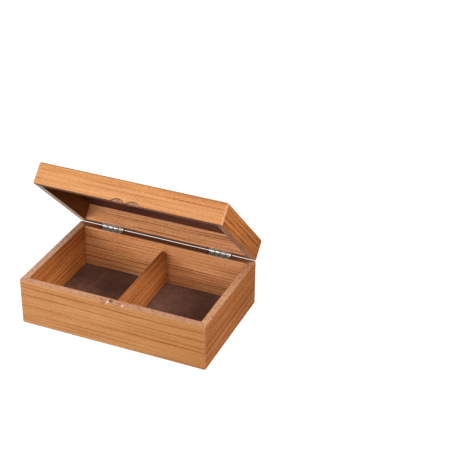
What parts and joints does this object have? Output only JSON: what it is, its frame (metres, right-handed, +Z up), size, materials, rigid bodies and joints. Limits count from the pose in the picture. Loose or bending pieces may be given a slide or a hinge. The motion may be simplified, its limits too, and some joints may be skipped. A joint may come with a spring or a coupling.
{
  "type": "chess piece box",
  "caption": "Rectangular veneered wooden box with a lid on butt hinges standing part open, a divider between felt-lined compartments, and finger scoops in the front seam.",
  "frame": {"origin": "centre of the underside of the base, on the surface it stands on", "axes": "+X to the right seen from the front and along the length, +Y to the back where the hinges are, +Z up"},
  "size_m": [0.24, 0.1704, 0.1861],
  "materials": {
    "veneer": "straight-grained striped veneer, satin lacquer",
    "core": "fine sanded light core, satin lacquer",
    "panel": "plain thin plywood, sanded",
    "liner": "matte dark brown felt",
    "nickel": "bright nickel plate, lightly rubbed"
  },
  "bodies": {
    "base": {"base_back_lining": "veneer", "base_back_veneer": "veneer", "base_back_wall": "core", "base_bottom_panel": "panel", "base_front_lining": "veneer", "base_front_veneer": "veneer", "base_front_wall": "core", "base_hinge_screws": "nickel", "base_left_lining": "veneer", "base_left_veneer": "veneer", "base_left_wall": "core", "base_right_lining": "veneer", "base_right_veneer": "veneer", "base_right_wall": "core", "catch_magnet": "nickel", "divider_core": "core", "divider_left_veneer": "veneer", "divider_right_veneer": "veneer", "left_hinge_base_leaf": "nickel", "left_hinge_pin": "nickel", "left_liner": "liner", "right_hinge_base_leaf": "nickel", "right_hinge_pin": "nickel", "right_liner": "liner"},
    "lid": {"catch_strike_disc": "nickel", "left_hinge_lid_leaf": "nickel", "lid_back_lining": "veneer", "lid_back_veneer": "veneer", "lid_back_wall": "core", "lid_front_lining": "veneer", "lid_front_veneer": "veneer", "lid_front_wall": "core", "lid_hinge_screws": "nickel", "lid_left_lining": "veneer", "lid_left_veneer": "veneer", "lid_left_wall": "core", "lid_liner": "liner", "lid_right_lining": "veneer", "lid_right_veneer": "veneer", "lid_right_wall": "core", "lid_top_panel": "core", "lid_top_veneer": "veneer", "right_hinge_lid_leaf": "nickel"}
  },
  "joints": [
    {"name": "lid_hinge", "type": "hinge", "parent": "base", "child": "lid", "pos_m": [0, 0.07645, 0.06012], "axis": [-1, 0, 0], "range_deg": [-45.1, 59.9]}
  ]
}
